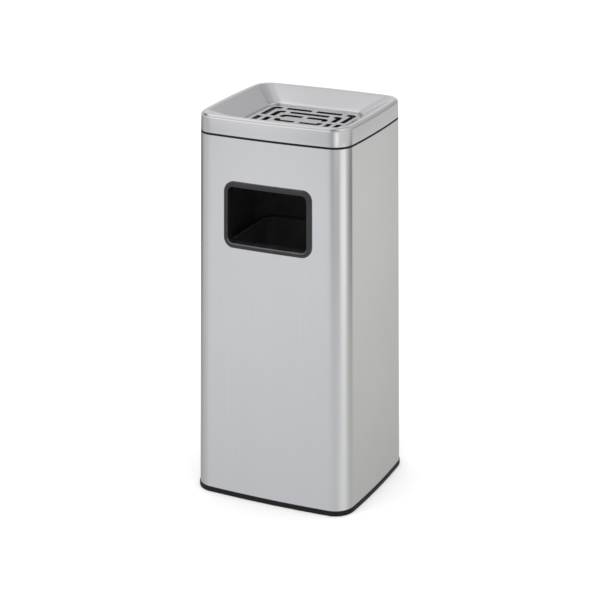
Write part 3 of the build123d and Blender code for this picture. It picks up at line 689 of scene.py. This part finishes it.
def lid_skin():
    """The pressed lid in one sheet: skirt, rolled crest, tray slopes, grate recess, ledge and lip."""
    outward = np.column_stack([plan[1], np.zeros(len(plan[1]))])
    outward_recess = np.column_stack([recess[1], np.zeros(len(recess[1]))])
    crest = level(plan, SKIRT_DRAFT, lid_high.z)
    tray_top = level(plan, TRAY_INSET, lid_high.z)
    tray_bottom = level(recess, 0, lid_high.z - RECESS_DROP)
    down_slope = unit(tray_bottom - tray_top)
    flat = unit((tray_top - tray_bottom) * (1, 1, 0))
    rings = [level(plan, 0, trim_high.z)]
    rings += bend(crest, unit(rings[0] - crest), -outward, CREST_RADIUS, CREST_STEPS)
    edge = bend(tray_top, flat, down_slope, TRAY_EDGE_RADIUS, TRAY_EDGE_STEPS)
    foot = bend(tray_bottom, -down_slope, -UP, RECESS_ROUND)
    slope = [edge[-1] + (foot[0] - edge[-1]) * t for t in np.linspace(0, 1, TRAY_SLOPE_STEPS + 1)[1:-1]]
    rings += edge + slope + foot
    rings += bend(level(recess, 0, ledge_top), UP, -outward_recess, LEDGE_ROUND)
    rings += bend(level(recess, LEDGE_WIDTH, ledge_top), outward_recess, -UP, LEDGE_ROUND)
    rings += [level(recess, LEDGE_WIDTH, lid_low.z)]
    mesh = ring_mesh("lid_skin", rings)
    face_outward(mesh)
    skirt_face = mesh.polygons[0]
    if skirt_face.normal.dot(skirt_face.center) < 0:
        mesh.flip_normals()
    sheet = thickened(mesh, SHEET)
    finishes = ["lid_stainless", "mill_stainless"]
    return finished("lid_skin", sheet, finishes, "lid", "lid_pressing")


# ---- Grate -----------------------------------------------------------------------------------------------


def rounded_polygon(corners):
    """A closed outline from (x, y, radius) corners."""
    places = np.array([corner[:2] for corner in corners])
    outline = []
    for index, (x, y, radius) in enumerate(corners):
        here = np.array((x, y))
        before = unit(places[index - 1] - here)
        after = unit(places[(index + 1) % len(places)] - here)
        rings = bend(here[None], before[None], after[None], radius, SLOT_BEND_STEPS)
        outline += [ring[0] for ring in rings]
    return outline


def grate_slots():
    """Outlines of the slots: three rings of bars and corner pieces, parted by bridges."""
    end = SLOT_END_RADIUS
    half = SLOT_WIDTH / 2
    bridge = SLOT_BRIDGE / 2
    slots = []
    for index in range(SLOT_RINGS):
        x, y = (size - index * SLOT_PITCH for size in OUTER_SLOT)
        corner_start = bridge
        if index < SLOT_RINGS - 1:
            parting = x - SLOT_PITCH + index * SHORTER_BAR
            corner_start = parting + bridge
            bar_start = bridge if index == 0 else bridge - parting
            bars = [(bar_start, parting - bridge)]
            if index == 0:
                bars.append((bridge - parting, -bridge))
            for low, high in bars:
                for side in (-1, 1):
                    slots.append(
                        rounded_polygon(
                            [
                                (low, side * y - half, end),
                                (high, side * y - half, end),
                                (high, side * y + half, end),
                                (low, side * y + half, end),
                            ]
                        )
                    )
        corner_piece = rounded_polygon(
            [
                (corner_start, y + half, end),
                (corner_start, y - half, end),
                (x - half, y - half, SLOT_INNER_RADIUS),
                (x - half, bridge, end),
                (x + half, bridge, end),
                (x + half, y + half, SLOT_OUTER_RADIUS),
            ]
        )
        for flip in ((1, 1), (-1, 1), (1, -1), (-1, -1)):
            slots.append([point * flip for point in corner_piece])
    return slots


def cut_sheet(name, outlines, thickness, edge):
    """A flat sheet with rounded edges from its outer outline and its holes, top face at z 0."""
    curve = bpy.data.curves.new(name, "CURVE")
    curve.dimensions = "2D"
    curve.fill_mode = "BOTH"
    curve.extrude = thickness / 2 - edge
    curve.bevel_depth = edge
    curve.bevel_resolution = 2
    curve.offset = -edge
    for outline in outlines:
        spline = curve.splines.new("POLY")
        spline.points.add(len(outline) - 1)
        spline.points.foreach_set("co", np.array([(x, y, 0.0, 1.0) for x, y in outline]).ravel())
        spline.use_cyclic_u = True
    holder = bpy.data.objects.new(name, curve)
    bpy.context.scene.collection.objects.link(holder)
    evaluated = holder.evaluated_get(bpy.context.evaluated_depsgraph_get())
    mesh = bpy.data.meshes.new_from_object(evaluated)
    bpy.data.objects.remove(holder)
    mesh.transform(Matrix.Translation((0, 0, -thickness / 2)))
    return mesh


def grate_plate():
    """The slotted plate: dished in the middle, its edge turned down onto the pan."""
    outer = rounded_rectangle(grate_high.x + GRATE_OVERSIZE, grate_high.y + GRATE_OVERSIZE, GRATE_RADIUS)
    outlines = [outer[0], *grate_slots()]
    mesh = cut_sheet("ash_grate_plate", outlines, GRATE_THICKNESS, GRATE_EDGE)
    work = bmesh.new()
    work.from_mesh(mesh)
    bmesh.ops.remove_doubles(work, verts=work.verts, dist=WELD)
    spacing = SLOT_PITCH / 2
    for axis, half in ((0, grate_high.x), (1, grate_high.y)):
        normal = Vector((1 - axis, axis, 0))
        for step in range(-int(half / spacing), int(half / spacing) + 1):
            everything = work.verts[:] + work.edges[:] + work.faces[:]
            bmesh.ops.bisect_plane(work, geom=everything, plane_co=normal * step * spacing, plane_no=normal)
    dish = [size + SLOT_PITCH / 2 for size in OUTER_SLOT]
    for vertex in work.verts:
        depth = min(dish[0] - abs(vertex.co.x), dish[1] - abs(vertex.co.y)) / GRATE_DISH_RUN
        vertex.co.z += grate_high.z - GRATE_DISH * min(max(depth, 0), 1)
    rim_top = grate_high.z - GRATE_THICKNESS / 2
    section = [(0, pan_top), (0, rim_top), (GRATE_THICKNESS, rim_top), (GRATE_THICKNESS, pan_top)]
    rings = [level(outer, inset, z) for inset, z in rounded_section(section, GRATE_EDGE / 2)]
    work.from_mesh(ring_mesh("grate_rim", rings, closed=True))
    work.to_mesh(mesh)
    work.free()
    face_outward(mesh)
    finishes = ["grate_stainless", "slot_shade_steel"]
    slotted = [size + SLOT_WIDTH for size in OUTER_SLOT]
    for polygon in mesh.polygons:
        in_slots = abs(polygon.center.x) < slotted[0] and abs(polygon.center.y) < slotted[1]
        # the slots' cut faces take the near-black steel: painted shade inside the slots
        if in_slots and abs(polygon.normal.z) < CUT_FACE_SLOPE:
            polygon.material_index = finishes.index("slot_shade_steel")
    return finished("ash_grate_plate", mesh, finishes, "grate", "ash_grate")


body_skin()
trim_ring()
bezel_ring()
lid_skin()
grate_plate()

# ---- Finishes on the CAD nodes ---------------------------------------------------------------------------

NODE_FINISH = {
    "back_seam_strip": "mill_stainless",
    "base_ring": "black_base",
    "floor_pads": "pad_rubber",
    "base_plate": "zinc_steel",
    "base_screws": "zinc_fastener",
    "base_nuts": "zinc_fastener",
    "bezel_clips": "spring_steel",
    "lid_frame": "frame_plastic",
    "lid_studs": "zinc_fastener",
    "lid_nuts": "zinc_fastener",
    "ash_pan": "black_enamel",
    "bucket_wall": "bucket_paint",
    "bucket_rim_wire": "plain_steel",
    "bucket_floor": "bucket_paint",
    "bail_ears": "bucket_paint",
    "ear_rivets": "zinc_fastener",
    "bail_wire": "bail_zinc",
    "bail_grip": "grip_plastic",
}
for node, finish in NODE_FINISH.items():
    for material_slot in frame["nodes"][node].material_slots:
        material_slot.material = materials[finish]

# ---- Stage -----------------------------------------------------------------------------------------------

# Belts of soft panels: the sine of a belt's elevation, then its tones by azimuth.
STUDIO_BELTS = (
    (
        -0.43,
        ((-180, 0.54), (-110, 0.42), (-60, 0.52), (-28, 0.60), (20, 0.56), (56, 0.72))
        + ((80, 0.70), (95, 0.56), (125, 0.46), (140, 0.50), (164, 0.43), (180, 0.40)),
    ),
    (
        -0.37,
        ((-180, 0.58), (-110, 0.40), (-60, 0.58), (-34, 0.72), (-24, 0.72), (20, 0.65), (46, 0.67))
        + ((66, 0.82), (80, 0.80), (96, 0.56), (118, 0.50), (134, 0.52), (143, 0.62), (164, 0.54))
        + ((180, 0.48),),
    ),
    (
        -0.29,
        ((-180, 0.52), (-150, 0.34), (-100, 0.22), (-84, 0.54), (-52, 0.62), (-40, 0.69), (-33, 0.79))
        + ((-20, 0.79), (-7, 0.56), (2, 0.42), (42, 0.37), (50, 0.80), (60, 1.06), (80, 1.12), (90, 0.66))
        + ((104, 0.36), (122, 0.14), (131, 0.14), (139, 0.74), (150, 0.66), (164, 0.58), (180, 0.52)),
    ),
    (
        -0.22,
        ((-180, 0.50), (-130, 0.38), (-100, 0.34), (-80, 0.50), (-41, 0.51), (-34, 0.66), (-29, 0.72))
        + ((-25, 0.68), (-18, 0.52), (-8, 0.46), (6, 0.42), (18, 0.70), (28, 1.04), (36, 0.94), (50, 0.64))
        + ((100, 0.62), (120, 0.46), (132, 0.40), (142, 0.56), (164, 0.57), (180, 0.52)),
    ),
    (
        -0.08,
        ((-180, 0.54), (-150, 0.66), (-60, 0.58), (-40, 0.74), (-31, 0.88), (-16, 0.66), (-4, 0.50))
        + ((8, 0.46), (30, 0.80), (60, 0.70), (100, 0.62), (122, 0.52), (145, 0.40), (158, 0.38))
        + ((180, 0.48),),
    ),
    (
        0.10,
        ((-180, 0.50), (-172, 0.58), (-160, 0.70), (-110, 0.62), (-70, 0.60), (-40, 0.90), (-30, 1.12))
        + ((-14, 0.96), (-2, 0.58), (10, 0.46), (32, 0.50), (60, 0.62), (100, 0.60), (122, 0.52))
        + ((145, 0.36), (158, 0.36), (172, 0.48), (180, 0.50)),
    ),
    (
        0.27,
        ((-180, 0.46), (-173, 0.52), (-165, 0.66), (-148, 0.68), (-130, 0.60), (-112, 0.48), (-98, 0.30))
        + ((-80, 0.36), (-66, 0.60), (-45, 0.74), (-18, 0.76), (2, 0.48), (30, 0.40), (60, 0.60))
        + ((122, 0.52), (150, 0.46), (180, 0.46)),
    ),
    (
        0.52,
        ((-180, 0.47), (-175, 0.48), (-168, 0.66), (-148, 0.74), (-130, 0.60), (-112, 0.38), (-98, 0.06))
        + ((-80, 0.08), (-66, 0.50), (-45, 0.64), (-24, 0.62), (-6, 0.34), (10, 0.26), (28, 0.46))
        + ((60, 0.72), (130, 0.55), (150, 0.56), (180, 0.49)),
    ),
    (
        0.84,
        ((-180, 0.28), (-168, 0.44), (-150, 0.60), (-132, 0.62), (-126, 0.69), (-119, 0.80), (-110, 1.04))
        + ((-70, 0.94), (-46, 0.82), (-28, 0.58), (-8, 0.20), (8, 0.16), (28, 0.48), (60, 0.80), (85, 0.94))
        + ((110, 0.80), (125, 0.70), (165, 0.42), (180, 0.28)),
    ),
    (0.97, ((-180, 0.40), (-120, 0.72), (-30, 0.56), (0, 0.40), (40, 0.55), (120, 0.70), (180, 0.40))),
)
STUDIO_COOL = (0.962, 0.984, 1.015)  # tint of the panels in front
STUDIO_WARM = (1.0, 0.995, 0.98)  # and behind
STUDIO_LEVEL = (0.99, 0.985, 0.985)  # near the horizon
STUDIO_CEILING = (0.985, 0.975, 1.0)
COOL_TO_WARM = (-0.9, 0.3)  # where the tints change over: along Y, then by the sine of the elevation
LOW_TO_LEVEL = (-0.26, -0.12)
LEVEL_TO_CEILING = (0.1, 0.5)
BACKDROP = 0.98


def studio_tone(nodes):
    """What shiny surfaces see: belts of soft panels round the bin, blended by elevation."""
    direction = nodes.add("ShaderNodeTexCoord", output=DIRECTION)
    x, y, z = (nodes.add("ShaderNodeSeparateXYZ", ((0, direction),), output=axis) for axis in range(3))
    turn = nodes.math("ARCTAN2", x, nodes.math("MULTIPLY", y, -1.0))
    place = nodes.fit(turn, -math.pi, math.pi)
    belts = [
        (height, nodes.ramp(place, [(azimuth / 360 + 0.5, grey(tone)) for azimuth, tone in tones]))
        for height, tones in STUDIO_BELTS
    ]
    low, color = belts[0]
    for height, next_color in belts[1:]:
        color = nodes.mix(nodes.fit(z, low, height, smooth=True), color, next_color)
        low = height
    tint = nodes.mix(nodes.fit(y, *COOL_TO_WARM), opaque(STUDIO_COOL), opaque(STUDIO_WARM))
    tint = nodes.mix(nodes.fit(z, *LOW_TO_LEVEL), tint, opaque(STUDIO_LEVEL))
    tint = nodes.mix(nodes.fit(z, *LEVEL_TO_CEILING), tint, opaque(STUDIO_CEILING))
    return nodes.mix(1.0, color, tint, "MULTIPLY")


def make_world():
    world = bpy.data.worlds.new("studio")
    bpy.context.scene.world = world
    world.use_nodes = True
    nodes = Nodes(world.node_tree)
    is_camera = nodes.add("ShaderNodeLightPath", output=CAMERA_RAY)
    is_glossy = nodes.add("ShaderNodeLightPath", output=GLOSSY_RAY)
    color = nodes.mix(is_glossy, grey(BACKDROP), studio_tone(nodes))
    color = nodes.mix(is_camera, color, grey(BACKDROP))
    background = world.node_tree.nodes["Background"]
    world.node_tree.links.new(color, background.inputs[0])


FLOOR_GLOW = 0.12  # the floor is lit from below as well, like a product table
FLOOR_REACH = 14.0


def make_floor():
    """A pale, faintly uneven studio floor; shiny parts see the studio's panels instead of it."""
    mesh = bpy.data.meshes.new("studio_floor")
    corners = [(x * FLOOR_REACH, y * FLOOR_REACH, 0) for x, y in ((-1, -1), (1, -1), (1, 1), (-1, 1))]
    mesh.from_pydata(corners, [], [(0, 1, 2, 3)])
    floor = bpy.data.objects.new("studio_floor", mesh)
    bpy.context.scene.collection.objects.link(floor)
    material, nodes, shader = new_material("pale_floor")
    place = nodes.add("ShaderNodeTexCoord", output=OBJECT)
    color = nodes.mix(nodes.noise(place, scale=3.0), grey(0.95), grey(0.97))
    plug(nodes, shader, base_color=color, roughness=0.9, specular_ior_level=0.0)
    plug(nodes, shader, emission_color=grey(1.0), emission_strength=FLOOR_GLOW)
    mesh.materials.append(material)
    floor.visible_glossy = False


def soft_light(name, place, size, watts):
    """A square panel that faces the middle of the bin and isn't mirrored in it."""
    light = bpy.data.lights.new(name, "AREA")
    light.size = size
    light.energy = watts
    lamp = bpy.data.objects.new(name, light)
    lamp.location = place
    aim = Vector((0, 0, lid_high.z / 2)) - lamp.location
    lamp.rotation_euler = aim.to_track_quat("-Z", "Y").to_euler()
    lamp.visible_glossy = False
    bpy.context.scene.collection.objects.link(lamp)


CAMERA_PLACE = Vector((1.4613, -2.8303, 1.4428))
CAMERA_HEADING = 23.276  # degrees left of +Y
CAMERA_PITCH = 1.9394
CAMERA_ROLL = -0.181
CAMERA_LENS = 112.37
CAMERA_SHIFT = (-0.2204, -1.2592)
POSE_DISTANCE = 5.6
POSE_AZIMUTH = 27.3
POSE_ELEVATION = 19.0
LID_RAISED = 0.05  # the lift beyond which the camera steps back


def drive(owner, path, target, channel, expression):
    """A setting that follows another object's place."""
    driver = owner.driver_add(path).driver
    driver.type = "SCRIPTED"
    variable = driver.variables.new()
    variable.name = "place"
    variable.type = "TRANSFORMS"
    variable.targets[0].id = target
    variable.targets[0].transform_type = channel
    variable.targets[0].transform_space = "WORLD_SPACE"
    driver.expression = expression


def make_camera():
    """A long lens with shift, which is only for its own place: when the lid is raised it steps back."""
    data = bpy.data.cameras.new("camera")
    data.lens = CAMERA_LENS
    data.clip_end = 100
    camera = bpy.data.objects.new("camera", data)
    bpy.context.scene.collection.objects.link(camera)
    turn = Matrix.Rotation(math.radians(CAMERA_HEADING), 4, "Z")
    turn = turn @ Matrix.Rotation(math.radians(90 + CAMERA_PITCH), 4, "X")
    turn = turn @ Matrix.Rotation(math.radians(CAMERA_ROLL), 4, "Z")
    camera.matrix_world = Matrix.Translation(CAMERA_PLACE) @ turn
    for axis, shift in enumerate(CAMERA_SHIFT):
        path = ("shift_x", "shift_y")[axis]
        setattr(data, path, shift)
        drive(data, path, camera, "LOC_X", f"{shift} if abs(place - {CAMERA_PLACE.x}) < 0.001 else 0")
    azimuth, elevation = math.radians(POSE_AZIMUTH), math.radians(POSE_ELEVATION)
    level_part = math.cos(elevation)
    back = Vector((math.sin(azimuth) * level_part, -math.cos(azimuth) * level_part, math.sin(elevation)))
    stand = bpy.data.objects.new("camera_stand_for_raised_lid", None)
    stand.location = Vector((0, 0, lid_high.z)) + back * POSE_DISTANCE
    stand.rotation_euler = (-back).to_track_quat("-Z", "Y").to_euler()
    bpy.context.scene.collection.objects.link(stand)
    step_back = camera.constraints.new("COPY_TRANSFORMS")
    step_back.target = stand
    drive(step_back, "influence", frame["bodies"]["lid"], "LOC_Z", f"1 if place > {LID_RAISED} else 0")
    bpy.context.scene.camera = camera


make_world()
make_floor()
soft_light("overhead", (0.3, -0.4, 2.6), 2.2, 14)
soft_light("front_left", (-2.0, -2.2, 1.8), 1.6, 10)
make_camera()
bpy.context.scene.view_settings.view_transform = "Standard"
